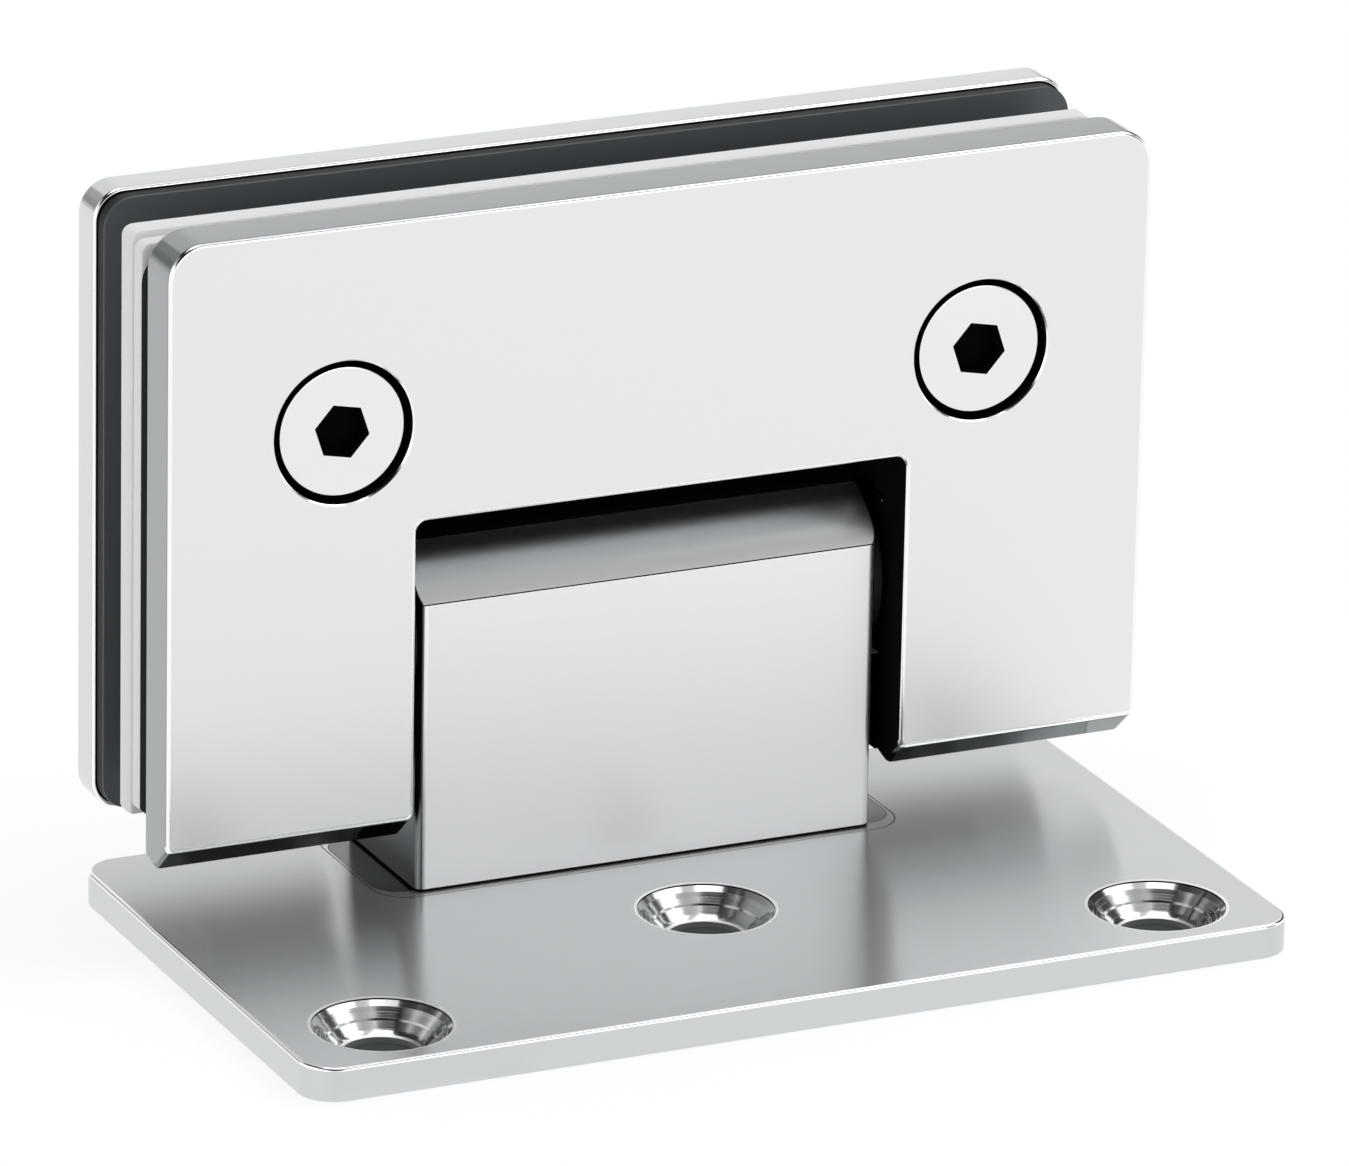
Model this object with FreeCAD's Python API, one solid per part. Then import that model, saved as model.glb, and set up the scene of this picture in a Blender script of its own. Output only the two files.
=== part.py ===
"""Wall-to-glass door hinge for a frameless shower door, in millimetres.

A pivot block stands on a screwed wall plate. Two clamp plates grip the glass between gaskets
and turn with a pin that runs through the block. Spring plungers under the pin find the detents.
The origin is the centre of the wall plate's underside. +X is along the pin, +Z leaves the wall.
"""
import FreeCAD, Part
import math
import os

from FreeCAD import Vector

# Wall plate
wall_width = 90.0
wall_depth = 51.0
wall_thick = 3.0
wall_corner_r = 3.2
wall_bevel = 0.3
wall_screw_side_inset = 9.4
wall_screw_front_inset = 7.7
middle_screw_front_inset = 21.3
wall_screw_hole_d = 6.6
wall_countersink_d = 12.2
wall_countersink_depth = 2.5

# Pivot block on the wall plate
block_width = 42.4
block_thick = 15.0
block_crown = 0.9
block_corner_r = 1.0
block_crown_bevel = 0.3
block_low_bevel = 0.25
foot_overhang = 3.2
foot_side_inset = 0.7
foot_corner_r = 2.8
foot_depth = 0.8
foot_seam = 0.06
pivot_height = 24.8

# Screws that hold the block from below
block_screw_d = 5.0
block_screw_head_d = 9.2
block_screw_length = 14.0
block_screw_pitch = 33.0
block_screw_key = 3.0
block_screw_key_depth = 1.4
block_screw_tip_room = 1.0
head_below_face = 0.1

# Pivot pin and its bushes
pin_d = 10.0
pin_square = 7.0
pin_grip = 12.0
pin_end_chamfer = 0.5
pin_bore_clear = 0.15
journal_clear = 0.05
seat_clear = 0.02
thread_clear = 0.03
bush_wall = 1.2
bush_length = 8.0
bush_flange_thick = 0.8
bush_flange_lip = 0.8

# Detent plungers, their springs and the flats on the pin
detent_depth = 0.6
detent_count = 4
plunger_d = 7.0
plunger_length = 9.0
plunger_pitch = 18.0
plunger_nose_chamfer = 1.2
plunger_clear = 0.05
plunger_gap = 0.05
spring_outer_d = 6.2
spring_wire_width = 1.0
spring_wire_height = 1.1
spring_turns = 3.25

# Clamp leaf: the two plates and what lies between them, from front to rear
leaf_width = 90.0
leaf_lift = 5.4
leaf_height = 55.3
leaf_corner_r = 3.2
leaf_bevel = 0.4
front_plate_thick = 4.8
front_gasket_thick = 1.4
front_packing_thick = 1.9
rear_packing_thick = 2.5
glass_slot = 4.4
rear_gasket_thick = 1.4
rear_plate_thick = 3.4

# Notch in the leaf that clears the block
notch_side_gap = 1.4
notch_rise = 12.3
notch_corner_r = 1.0

# Blunt wedge along the lower edge of the front plate's arms
outer_wedge_rise = 2.4
outer_wedge_depth = 2.7
inner_wedge_rise = 0.6

# How the other layers' outlines stand back from the front plate's, with their corner radii
rear_plate_drop = 0.0
rear_plate_rise = 0.5
rear_plate_corner_r = 2.8
rear_plate_foot_r = 2.5
rear_gasket_inset = 0.4
rear_gasket_rise = 0.9
rear_gasket_corner_r = 2.6
rear_gasket_foot_r = 2.3
rear_packing_right_inset = 1.6
rear_packing_drop = 1.0
rear_packing_rise = 2.9
front_packing_inset = 0.1
front_packing_drop = 1.5
front_packing_rise = 3.9
packing_corner_r = 1.0
packing_edge_bevel = 0.5
front_gasket_inset = 0.1
front_gasket_drop = 2.2
front_gasket_rise = 4.2
front_gasket_corner_r = 2.8
front_gasket_tongue = 4.0
layer_notch_gap = 0.4

# Saddles that grip the pin's square ends
saddle_wall = 3.4
saddle_end_wall = 1.0
saddle_part_gap = 0.3
square_clear = 0.04
saddle_layer_gap = 0.6

# Clamp screws, the bosses that take them and their sleeves
clamp_screw_side_inset = 15.7
clamp_screw_rise = 21.0
clamp_screw_d = 6.0
clamp_screw_hole_d = 6.4
clamp_screw_length = 11.5
clamp_head_d = 11.25
clamp_head_thick = 2.7
clamp_head_bevel = 0.25
clamp_head_sink = 0.4
counterbore_d = 12.3
clamp_key = 4.35
clamp_key_depth = 2.0
clamp_key_turn = 17.0
boss_wall = 2.0
boss_front_gap = 0.5
boss_tip_room = 0.6
sleeve_wall = 1.1
sleeve_hole_clear = 0.1

# Places that follow from the sizes above
wall_front_y = -wall_depth / 2
wall_back_y = wall_depth / 2
foot_z = wall_thick - foot_depth
block_top_r = block_thick / 2 + block_crown

rear_outer_y = wall_back_y
rear_inner_y = rear_outer_y - rear_plate_thick
slot_rear_y = rear_inner_y - rear_gasket_thick
slot_front_y = slot_rear_y - glass_slot
packing_mid_y = slot_front_y - rear_packing_thick
packing_front_y = packing_mid_y - front_packing_thick
front_inner_y = packing_front_y - front_gasket_thick
front_outer_y = front_inner_y - front_plate_thick
pivot_y = (front_outer_y + rear_outer_y) / 2

leaf_bottom = wall_thick + leaf_lift
leaf_top = leaf_bottom + leaf_height
notch_half = block_width / 2 + notch_side_gap
notch_top = pivot_height + notch_rise
clamp_screw_x = leaf_width / 2 - clamp_screw_side_inset
clamp_screw_z = pivot_height + clamp_screw_rise

bush_outer_r = pin_d / 2 + journal_clear + bush_wall
bush_inner_x = block_width / 2 - bush_length
pin_end_x = notch_half + pin_grip
saddle_end_x = pin_end_x + square_clear + saddle_end_wall
saddle_half_z = pin_square / 2 + square_clear + saddle_wall
gasket_opening_low = pivot_height - saddle_half_z - saddle_layer_gap
plunger_top = pivot_height - pin_d / 2 - plunger_gap
plunger_bottom = plunger_top - plunger_length

X = Vector(1, 0, 0)
Y = Vector(0, 1, 0)
Z = Vector(0, 0, 1)
SIDES = (("left", -1), ("right", 1))


def box(x0, x1, y0, y1, z0, z1):
    """Box between two corners."""
    return Part.makeBox(x1 - x0, y1 - y0, z1 - z0, Vector(x0, y0, z0))


def cylinder(radius, start, axis, length):
    """Cylinder from its start point along an axis."""
    return Part.makeCylinder(radius, length, start, axis)


def hex_prism(across_flats, start, axis, depth, turn=0.0):
    """Prism for a hexagon key, whose corners are turned by an angle about the axis."""
    reach = across_flats / math.sqrt(3)
    side = X if abs(axis.z) > 0.5 else Z
    rise = axis.cross(side)
    corners = []
    for step in range(7):
        angle = math.radians(60 * step + turn)
        corners.append(start + side * (reach * math.cos(angle)) + rise * (reach * math.sin(angle)))
    return Part.Face(Part.makePolygon(corners)).extrude(axis * depth)


def edges_on_plane(shape, axis_index, place):
    """Edges whose two ends and middle all lie on a plane square to X, Y or Z."""
    found = []
    for edge in shape.Edges:
        points = [edge.valueAt(edge.FirstParameter), edge.valueAt(edge.LastParameter)]
        points.append(edge.valueAt((edge.FirstParameter + edge.LastParameter) / 2))
        if all(abs(point[axis_index] - place) < 1e-4 for point in points):
            found.append(edge)
    return found


def upright_edges(shape, axis_index, places):
    """Straight edges along one axis that stand at one of the given (other two axes) places."""
    found = []
    others = [index for index in range(3) if index != axis_index]
    for edge in shape.Edges:
        if len(edge.Vertexes) != 2:
            continue
        low, high = edge.Vertexes[0].Point, edge.Vertexes[1].Point
        if (high - low).Length - abs(high[axis_index] - low[axis_index]) > 1e-6:
            continue
        for place in places:
            if all(abs(low[others[k]] - place[k]) < 1e-4 for k in range(2)):
                found.append(edge)
                break
    return found


def save(shape, name):
    """Write one sub-part, cleaned of seams left by the cuts, as its own STEP file."""
    shape = shape.removeSplitter()
    if not shape.isValid() or len(shape.Solids) != 1:
        raise ValueError(name + " isn't one valid solid")
    os.makedirs("parts", exist_ok=True)
    shape.exportStep(os.path.join("parts", name + ".step"))
    print(name, "volume", round(shape.Volume, 1))


def wall_plate():
    """Flat plate with three countersunk wall screws, a shallow seat for the block's foot and
    two holes, countersunk from behind, for the block's own screws."""
    plate = box(-wall_width / 2, wall_width / 2, wall_front_y, wall_back_y, 0, wall_thick)
    corners = [(x, y) for x in (-wall_width / 2, wall_width / 2) for y in (wall_front_y, wall_back_y)]
    plate = plate.makeFillet(wall_corner_r, upright_edges(plate, 2, corners))
    plate = plate.makeChamfer(wall_bevel, edges_on_plane(plate, 2, wall_thick))
    hole_x = wall_width / 2 - wall_screw_side_inset
    corner_y = wall_front_y + wall_screw_front_inset
    middle_y = wall_front_y + middle_screw_front_inset
    sink = wall_countersink_depth
    for x, y in ((-hole_x, corner_y), (hole_x, corner_y), (0, middle_y)):
        plate = plate.cut(cylinder(wall_screw_hole_d / 2, Vector(x, y, -1), Z, wall_thick + 2))
        cone = Part.makeCone(wall_screw_hole_d / 2, wall_countersink_d / 2, sink,
                             Vector(x, y, wall_thick - sink), Z)
        plate = plate.cut(cone)
    plate = plate.cut(foot_outline(foot_z, wall_thick + 1, foot_seam))
    for side in (-1, 1):
        place = Vector(side * block_screw_pitch / 2, pivot_y, 0)
        plate = plate.cut(cylinder(block_screw_d / 2 + journal_clear, place - Z, Z, wall_thick + 1))
        plate = plate.cut(block_screw_head(place, seat_clear))
    return plate


def foot_outline(z0, z1, grow=0.0):
    """Solid of the foot's outline with round corners between two heights, grown sideways."""
    half_x = block_width / 2 + foot_overhang + grow
    half_y = block_thick / 2 - foot_side_inset + grow
    low_y, high_y = pivot_y - half_y, pivot_y + half_y
    foot = box(-half_x, half_x, low_y, high_y, z0, z1)
    corners = [(x, y) for x in (-half_x, half_x) for y in (low_y, high_y)]
    return foot.makeFillet(foot_corner_r + grow, upright_edges(foot, 2, corners))


def block_body():
    """The block above the wall plate: round upright corners, a crown round the pin with
    bevelled ends, and a fine bevel along its lower edge."""
    half_x = block_width / 2
    low_y, high_y = pivot_y - block_thick / 2, pivot_y + block_thick / 2
    crease_z = pivot_height + math.sqrt(block_top_r ** 2 - (block_thick / 2) ** 2)
    top_z = pivot_height + block_top_r
    summit = Vector(-half_x, pivot_y, top_z)
    front_crease = Vector(-half_x, low_y, crease_z)
    rear_crease = Vector(-half_x, high_y, crease_z)
    front_low = Vector(-half_x, low_y, wall_thick)
    rear_low = Vector(-half_x, high_y, wall_thick)
    sides = [Part.LineSegment(rear_crease, rear_low), Part.LineSegment(rear_low, front_low),
             Part.LineSegment(front_low, front_crease), Part.Arc(front_crease, summit, rear_crease)]
    crowned = Part.Face(Part.Wire([side.toShape() for side in sides])).extrude(X * block_width)
    crown_ends = [edge for edge in edges_on_plane(crowned, 0, -half_x) + edges_on_plane(crowned, 0, half_x)
                  if edge.CenterOfMass.z > crease_z]
    crowned = crowned.makeChamfer(block_crown_bevel, crown_ends)
    upright = box(-half_x, half_x, low_y, high_y, wall_thick, top_z)
    corners = [(x, y) for x in (-half_x, half_x) for y in (low_y, high_y)]
    upright = upright.makeFillet(block_corner_r, upright_edges(upright, 2, corners))
    upright = upright.makeChamfer(block_low_bevel, edges_on_plane(upright, 2, wall_thick))
    return crowned.common(upright)


def pivot_block():
    """Machined block with a thin foot let into the wall plate, a bore with a seat at each end
    for a bush, two plunger bores and two tapped holes below."""
    half_x = block_width / 2
    block = block_body().fuse(foot_outline(foot_z, wall_thick))
    axis_start = Vector(-half_x - 1, pivot_y, pivot_height)
    block = block.cut(cylinder(pin_d / 2 + pin_bore_clear, axis_start, X, block_width + 2))
    for side in (-1, 1):
        seat = Vector(side * bush_inner_x, pivot_y, pivot_height)
        block = block.cut(cylinder(bush_outer_r + seat_clear, seat, X * side, bush_length + 1))
        bore = Vector(side * plunger_pitch / 2, pivot_y, foot_z - 1)
        bore_length = pivot_height - bore.z
        block = block.cut(cylinder(plunger_d / 2 + plunger_clear, bore, Z, bore_length))
        tapped = Vector(side * block_screw_pitch / 2, pivot_y, foot_z - 1)
        tapped_length = head_below_face + block_screw_length + block_screw_tip_room - tapped.z
        block = block.cut(cylinder(block_screw_d / 2 + thread_clear, tapped, Z, tapped_length))
    return block


def block_screw_head(place, grow=0.0):
    """Countersunk head below the wall plate's underside, or its seat when grown."""
    top_r = block_screw_head_d / 2 + grow
    neck_r = block_screw_d / 2 + grow
    start = place + Z * (0 if grow else head_below_face)
    rim = cylinder(top_r, start, Z, head_below_face if grow else 1e-2)
    cone_start = place + Z * head_below_face
    return rim.fuse(Part.makeCone(top_r, neck_r, top_r - neck_r, cone_start, Z))


def block_screw(side):
    """Countersunk socket screw, put in from behind the wall plate into the block."""
    place = Vector(side * block_screw_pitch / 2, pivot_y, 0)
    radius = block_screw_d / 2
    tip = radius / 4
    screw = block_screw_head(place)
    start = place + Z * head_below_face
    screw = screw.fuse(cylinder(radius, start, Z, block_screw_length - tip))
    screw = screw.fuse(Part.makeCone(radius, radius - tip, tip, start + Z * (block_screw_length - tip), Z))
    return screw.cut(hex_prism(block_screw_key, place - Z, Z, block_screw_key_depth + head_below_face + 1))


def pivot_pin():
    """Turned pin with square ends for the clamp plates, and flats over each plunger."""
    radius = pin_d / 2
    start = Vector(-notch_half, pivot_y, pivot_height)
    pin = cylinder(radius, start, X, 2 * notch_half)
    half = pin_square / 2
    square = box(-pin_end_x, pin_end_x, pivot_y - half, pivot_y + half,
                 pivot_height - half, pivot_height + half)
    ends = edges_on_plane(square, 0, -pin_end_x) + edges_on_plane(square, 0, pin_end_x)
    pin = pin.fuse(square.makeChamfer(pin_end_chamfer, ends))
    flat = radius - detent_depth
    length = plunger_d + 2 * plunger_clear
    for side in (-1, 1):
        middle = side * plunger_pitch / 2
        for step in range(detent_count):
            cutter = box(middle - length / 2, middle + length / 2, pivot_y - pin_d, pivot_y + pin_d,
                         pivot_height + flat, pivot_height + pin_d)
            cutter.rotate(Vector(0, pivot_y, pivot_height), X, step * 360 / detent_count)
            pin = pin.cut(cutter)
    return pin


def pin_bush(side):
    """Flanged plastic bush pressed into one end of the block's bore."""
    start = Vector(side * bush_inner_x, pivot_y, pivot_height)
    bush = cylinder(bush_outer_r, start, X * side, bush_length + bush_flange_thick)
    collar = Vector(side * block_width / 2, pivot_y, pivot_height)
    bush = bush.fuse(cylinder(bush_outer_r + bush_flange_lip, collar, X * side, bush_flange_thick))
    hole = cylinder(pin_d / 2 + journal_clear, start - X * side, X * side,
                    bush_length + bush_flange_thick + 2)
    return bush.cut(hole)


def plunger(side):
    """Steel plunger below the pin, with a bevelled nose that drops into the pin's flats."""
    start = Vector(side * plunger_pitch / 2, pivot_y, plunger_bottom)
    shape = cylinder(plunger_d / 2, start, Z, plunger_length)
    return shape.makeChamfer(plunger_nose_chamfer, edges_on_plane(shape, 2, plunger_top))


def spring(side):
    """Die spring of flat wire with ground ends, from the wall plate up to the plunger."""
    height = plunger_bottom - foot_z
    pitch = height / spring_turns
    outer = spring_outer_d / 2
    inner = outer - spring_wire_width
    half = spring_wire_height / 2
    corners = [Vector(inner, 0, -half), Vector(outer, 0, -half),
               Vector(outer, 0, half), Vector(inner, 0, half)]
    section = Part.makePolygon(corners + corners[:1])
    path = Part.Wire(Part.makeHelix(pitch, height + pitch, (inner + outer) / 2))
    coil = path.makePipeShell([section], True, True)
    coil.translate(Vector(side * plunger_pitch / 2, pivot_y, foot_z - pitch / 2))
    middle = side * plunger_pitch / 2
    return coil.common(box(middle - spring_outer_d, middle + spring_outer_d,
                           pivot_y - spring_outer_d, pivot_y + spring_outer_d, foot_z, plunger_bottom))


def leaf_slab(y0, y1, left_inset=0.0, right_inset=0.0, top_drop=0.0, foot_rise=0.0,
              corner_r=leaf_corner_r, foot_r=0.0, notch_gap=0.0):
    """Slab between two depths with the leaf's outline: round top corners, and the notch below.

    The insets, the drop and the rise move its sides, top and foot inwards, foot_r rounds the
    foot's corners, and notch_gap widens the notch."""
    left = -leaf_width / 2 + left_inset
    right = leaf_width / 2 - right_inset
    low = leaf_bottom + foot_rise
    high = leaf_top - top_drop
    slab = box(left, right, y0, y1, low, high)
    slab = slab.makeFillet(corner_r, upright_edges(slab, 1, [(left, high), (right, high)]))
    if foot_r > 0:
        slab = slab.makeFillet(foot_r, upright_edges(slab, 1, [(left, low), (right, low)]))
    gap_half = notch_half + notch_gap
    gap_top = notch_top + notch_gap
    gap = box(-gap_half, gap_half, y0 - 1, y1 + 1, low - 1, gap_top)
    corners = [(-gap_half, gap_top), (gap_half, gap_top)]
    return slab.cut(gap.makeFillet(notch_corner_r, upright_edges(gap, 1, corners)))


def lower_wedge():
    """Cutter that leaves a blunt wedge under the front plate's arms."""
    ridge_y = front_outer_y + outer_wedge_depth
    low = leaf_bottom - 1
    corners = [Vector(-leaf_width, front_outer_y - 1, low),
               Vector(-leaf_width, front_outer_y - 1, leaf_bottom + outer_wedge_rise),
               Vector(-leaf_width, front_outer_y, leaf_bottom + outer_wedge_rise),
               Vector(-leaf_width, ridge_y, leaf_bottom),
               Vector(-leaf_width, front_inner_y, leaf_bottom + inner_wedge_rise),
               Vector(-leaf_width, front_inner_y + 1, leaf_bottom + inner_wedge_rise),
               Vector(-leaf_width, front_inner_y + 1, low)]
    return Part.Face(Part.makePolygon(corners + corners[:1])).extrude(X * (2 * leaf_width))


def saddles(plate_y, into):
    """Blocks on a clamp plate's inner face that close round half of the pin's square ends."""
    made = []
    face_y = pivot_y - into * saddle_part_gap / 2
    y0, y1 = sorted((plate_y, face_y))
    recess = pin_square / 2 + square_clear
    for side in (-1, 1):
        x0, x1 = sorted((side * notch_half, side * saddle_end_x))
        body = box(x0, x1, y0, y1, pivot_height - saddle_half_z, pivot_height + saddle_half_z)
        x0, x1 = sorted((side * (notch_half - 1), side * (pin_end_x + square_clear)))
        made.append(body.cut(box(x0, x1, pivot_y - recess, pivot_y + recess,
                                 pivot_height - recess, pivot_height + recess)))
    return made


def front_plate():
    """Outer clamp plate with counterbored screw holes and the front pin saddles."""
    plate = leaf_slab(front_outer_y, front_inner_y).cut(lower_wedge())
    crease_z = leaf_bottom + outer_wedge_rise
    rim = [edge for edge in edges_on_plane(plate, 1, front_outer_y)
           if abs(edge.CenterOfMass.z - crease_z) > 1e-3]
    plate = plate.makeChamfer(leaf_bevel, rim)
    for body in saddles(front_inner_y, 1):
        plate = plate.fuse(body)
    for side in (-1, 1):
        hole = Vector(side * clamp_screw_x, front_outer_y - 1, clamp_screw_z)
        plate = plate.cut(cylinder(clamp_screw_hole_d / 2, hole, Y, front_plate_thick + 2))
        depth = clamp_head_thick + clamp_head_sink + 1
        plate = plate.cut(cylinder(counterbore_d / 2, hole, Y, depth))
    return plate


def rear_plate():
    """Inner clamp plate with the rear pin saddles and two tapped blind bosses."""
    plate = leaf_slab(rear_inner_y, rear_outer_y, top_drop=rear_plate_drop, foot_rise=rear_plate_rise,
                      corner_r=rear_plate_corner_r, foot_r=rear_plate_foot_r)
    plate = plate.makeChamfer(leaf_bevel, edges_on_plane(plate, 1, rear_outer_y))
    for body in saddles(rear_inner_y, -1):
        plate = plate.fuse(body)
    radius = clamp_screw_d / 2 + thread_clear
    boss_front = front_inner_y + front_gasket_thick + boss_front_gap
    for side in (-1, 1):
        place = Vector(side * clamp_screw_x, boss_front, clamp_screw_z)
        plate = plate.fuse(cylinder(radius + boss_wall, place, Y, rear_inner_y - boss_front + 0.1))
    for side in (-1, 1):
        place = Vector(side * clamp_screw_x, boss_front - 1, clamp_screw_z)
        tapped = clamp_screw_seat_y() + clamp_screw_length + boss_tip_room - place.y
        plate = plate.cut(cylinder(radius, place, Y, tapped))
    return plate


def clamp_screw_seat_y():
    """Depth of the counterbore's floor, where the clamp screw's head seats."""
    return front_outer_y + clamp_head_sink + clamp_head_thick


def soft_layer(y0, y1, hole_r, opening_low, notch_gap=layer_notch_gap, **outline):
    """Sheet of the leaf's outline between two depths, with holes for the screws and an opening
    round the saddles that begins at a given height."""
    layer = leaf_slab(y0, y1, notch_gap=notch_gap, **outline)
    reach = saddle_end_x + saddle_layer_gap
    top = pivot_height + saddle_half_z + saddle_layer_gap
    layer = layer.cut(box(-reach, reach, y0 - 1, y1 + 1, opening_low, top))
    for side in (-1, 1):
        hole = Vector(side * clamp_screw_x, y0 - 1, clamp_screw_z)
        layer = layer.cut(cylinder(hole_r, hole, Y, y1 - y0 + 2))
    return layer


def front_gasket():
    """Black sheet behind the front plate, with a tongue down each side of the notch."""
    sheet = soft_layer(front_inner_y, packing_front_y, clamp_screw_hole_d / 2, gasket_opening_low,
                       notch_gap=0.0, left_inset=front_gasket_inset, right_inset=front_gasket_inset,
                       top_drop=front_gasket_drop, foot_rise=front_gasket_rise,
                       corner_r=front_gasket_corner_r)
    for side in (-1, 1):
        x0, x1 = sorted((side * notch_half, side * (notch_half + front_gasket_tongue)))
        sheet = sheet.fuse(box(x0, x1, front_inner_y, packing_front_y,
                               leaf_bottom + inner_wedge_rise, leaf_bottom + front_gasket_rise + 1))
    return sheet.removeSplitter()


def rear_gasket():
    """Dark sheet on the rear plate, of the plate's own outline."""
    return soft_layer(slot_rear_y, rear_inner_y, sleeve_outer_r() + sleeve_hole_clear,
                      gasket_opening_low,
                      left_inset=rear_gasket_inset, right_inset=rear_gasket_inset,
                      top_drop=rear_plate_drop + rear_gasket_inset, foot_rise=rear_gasket_rise,
                      corner_r=rear_gasket_corner_r, foot_r=rear_gasket_foot_r)


def packing(y0, y1, left_inset, right_inset, top_drop, foot_rise):
    """White packing sheet with a bevel along its sides and top."""
    sheet = soft_layer(y0, y1, sleeve_outer_r() + sleeve_hole_clear, leaf_bottom - 1,
                       left_inset=left_inset, right_inset=right_inset,
                       top_drop=top_drop, foot_rise=foot_rise, corner_r=packing_corner_r)
    left = -leaf_width / 2 + left_inset
    right = leaf_width / 2 - right_inset
    rim = []
    for edge in edges_on_plane(sheet, 1, y0) + edges_on_plane(sheet, 1, y1):
        middle = edge.CenterOfMass
        if min(abs(middle.x - left), abs(middle.x - right)) < 1e-3:
            rim.append(edge)
        elif middle.z > leaf_top - top_drop - packing_corner_r:
            rim.append(edge)
    return sheet.makeChamfer(min(packing_edge_bevel, 0.45 * (y1 - y0)), rim)


def front_packing():
    """Thin packing sheet behind the front gasket."""
    return packing(packing_front_y, packing_mid_y, front_packing_inset, front_packing_inset,
                   front_packing_drop, front_packing_rise)


def rear_packing():
    """Thicker packing sheet that faces the glass, flush on the left and short on the right."""
    return packing(packing_mid_y, slot_front_y, 0.0, rear_packing_right_inset,
                   rear_packing_drop, rear_packing_rise)


def sleeve_outer_r():
    """Outer radius of the sleeve, which fits over the rear plate's boss."""
    return clamp_screw_d / 2 + thread_clear + boss_wall + journal_clear + sleeve_wall


def clamp_sleeve(side):
    """Plastic sleeve over a boss, which keeps the glass off the metal."""
    radius = sleeve_outer_r()
    length = rear_inner_y - packing_front_y - sleeve_hole_clear
    start = Vector(side * clamp_screw_x, rear_inner_y - length, clamp_screw_z)
    sleeve = cylinder(radius, start, Y, length)
    return sleeve.cut(cylinder(radius - sleeve_wall, start - Y, Y, length + 2))


def clamp_screw(side):
    """Low-head socket screw from the front plate into the rear plate's boss."""
    seat_y = clamp_screw_seat_y()
    place = Vector(side * clamp_screw_x, seat_y - clamp_head_thick, clamp_screw_z)
    head = cylinder(clamp_head_d / 2, place, Y, clamp_head_thick)
    head = head.makeChamfer(clamp_head_bevel, edges_on_plane(head, 1, place.y))
    radius = clamp_screw_d / 2
    tip = radius / 4
    shank = place + Y * clamp_head_thick
    screw = head.fuse(cylinder(radius, shank, Y, clamp_screw_length - tip))
    screw = screw.fuse(Part.makeCone(radius, radius - tip, tip, shank + Y * (clamp_screw_length - tip), Y))
    return screw.cut(hex_prism(clamp_key, place - Y, Y, clamp_key_depth + 1, clamp_key_turn))


save(wall_plate(), "wall_plate")
save(pivot_block(), "pivot_block")
save(pivot_pin(), "pivot_pin")
save(front_plate(), "front_plate")
save(rear_plate(), "rear_plate")
save(front_gasket(), "front_gasket")
save(front_packing(), "front_packing")
save(rear_packing(), "rear_packing")
save(rear_gasket(), "rear_gasket")
for name, side in SIDES:
    save(block_screw(side), "block_screw_" + name)
    save(pin_bush(side), "pin_bush_" + name)
    save(plunger(side), "plunger_" + name)
    save(spring(side), "spring_" + name)
    save(clamp_screw(side), "clamp_screw_" + name)
    save(clamp_sleeve(side), "clamp_sleeve_" + name)
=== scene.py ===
import math

import bmesh
import bpy
from mathutils import Matrix, Vector


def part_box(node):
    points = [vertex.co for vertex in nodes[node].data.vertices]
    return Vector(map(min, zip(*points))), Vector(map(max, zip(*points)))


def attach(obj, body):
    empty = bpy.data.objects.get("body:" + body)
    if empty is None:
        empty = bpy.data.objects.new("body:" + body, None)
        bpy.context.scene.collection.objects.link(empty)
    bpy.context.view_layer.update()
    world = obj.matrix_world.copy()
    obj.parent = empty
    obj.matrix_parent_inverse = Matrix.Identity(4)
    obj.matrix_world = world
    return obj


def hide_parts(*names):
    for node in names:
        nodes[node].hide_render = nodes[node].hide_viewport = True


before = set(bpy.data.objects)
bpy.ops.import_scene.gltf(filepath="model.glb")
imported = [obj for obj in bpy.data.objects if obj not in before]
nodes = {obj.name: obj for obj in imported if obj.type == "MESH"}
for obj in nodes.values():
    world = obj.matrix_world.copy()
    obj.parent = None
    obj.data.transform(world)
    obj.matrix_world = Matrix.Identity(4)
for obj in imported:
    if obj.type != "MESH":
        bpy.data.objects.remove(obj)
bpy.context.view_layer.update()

scene = bpy.context.scene


# Camera.
# It stands to the front left and looks slightly down, with a long lens, so that the plates' sides
# show on the left. Places are in millimetres, as in the rest of this file.
MM = 0.001
camera_place = Vector((-385.7, -818.0, 354.6))
camera_azimuth = math.radians(-25.154)
camera_elevation = math.radians(19.709)
camera_roll = math.radians(-1.148)
camera_sensor = 36.0
camera_lens = 306.7

backward = Vector((math.sin(camera_azimuth) * math.cos(camera_elevation),
                   -math.cos(camera_azimuth) * math.cos(camera_elevation),
                   math.sin(camera_elevation)))
rightward = Vector((0, 0, 1)).cross(backward).normalized()
downward = rightward.cross(backward)
camera_x = rightward * math.cos(camera_roll) + downward * math.sin(camera_roll)
camera_y = backward.cross(camera_x)
camera = bpy.data.objects.new("camera", bpy.data.cameras.new("camera"))
camera.data.sensor_width = camera_sensor
camera.data.lens = camera_lens
camera.data.clip_start = 0.05
camera.data.clip_end = 20.0
turn = Matrix((camera_x, camera_y, backward)).transposed().to_4x4()
camera.matrix_world = Matrix.Translation(camera_place * MM) @ turn
scene.collection.objects.link(camera)
scene.camera = camera


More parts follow.
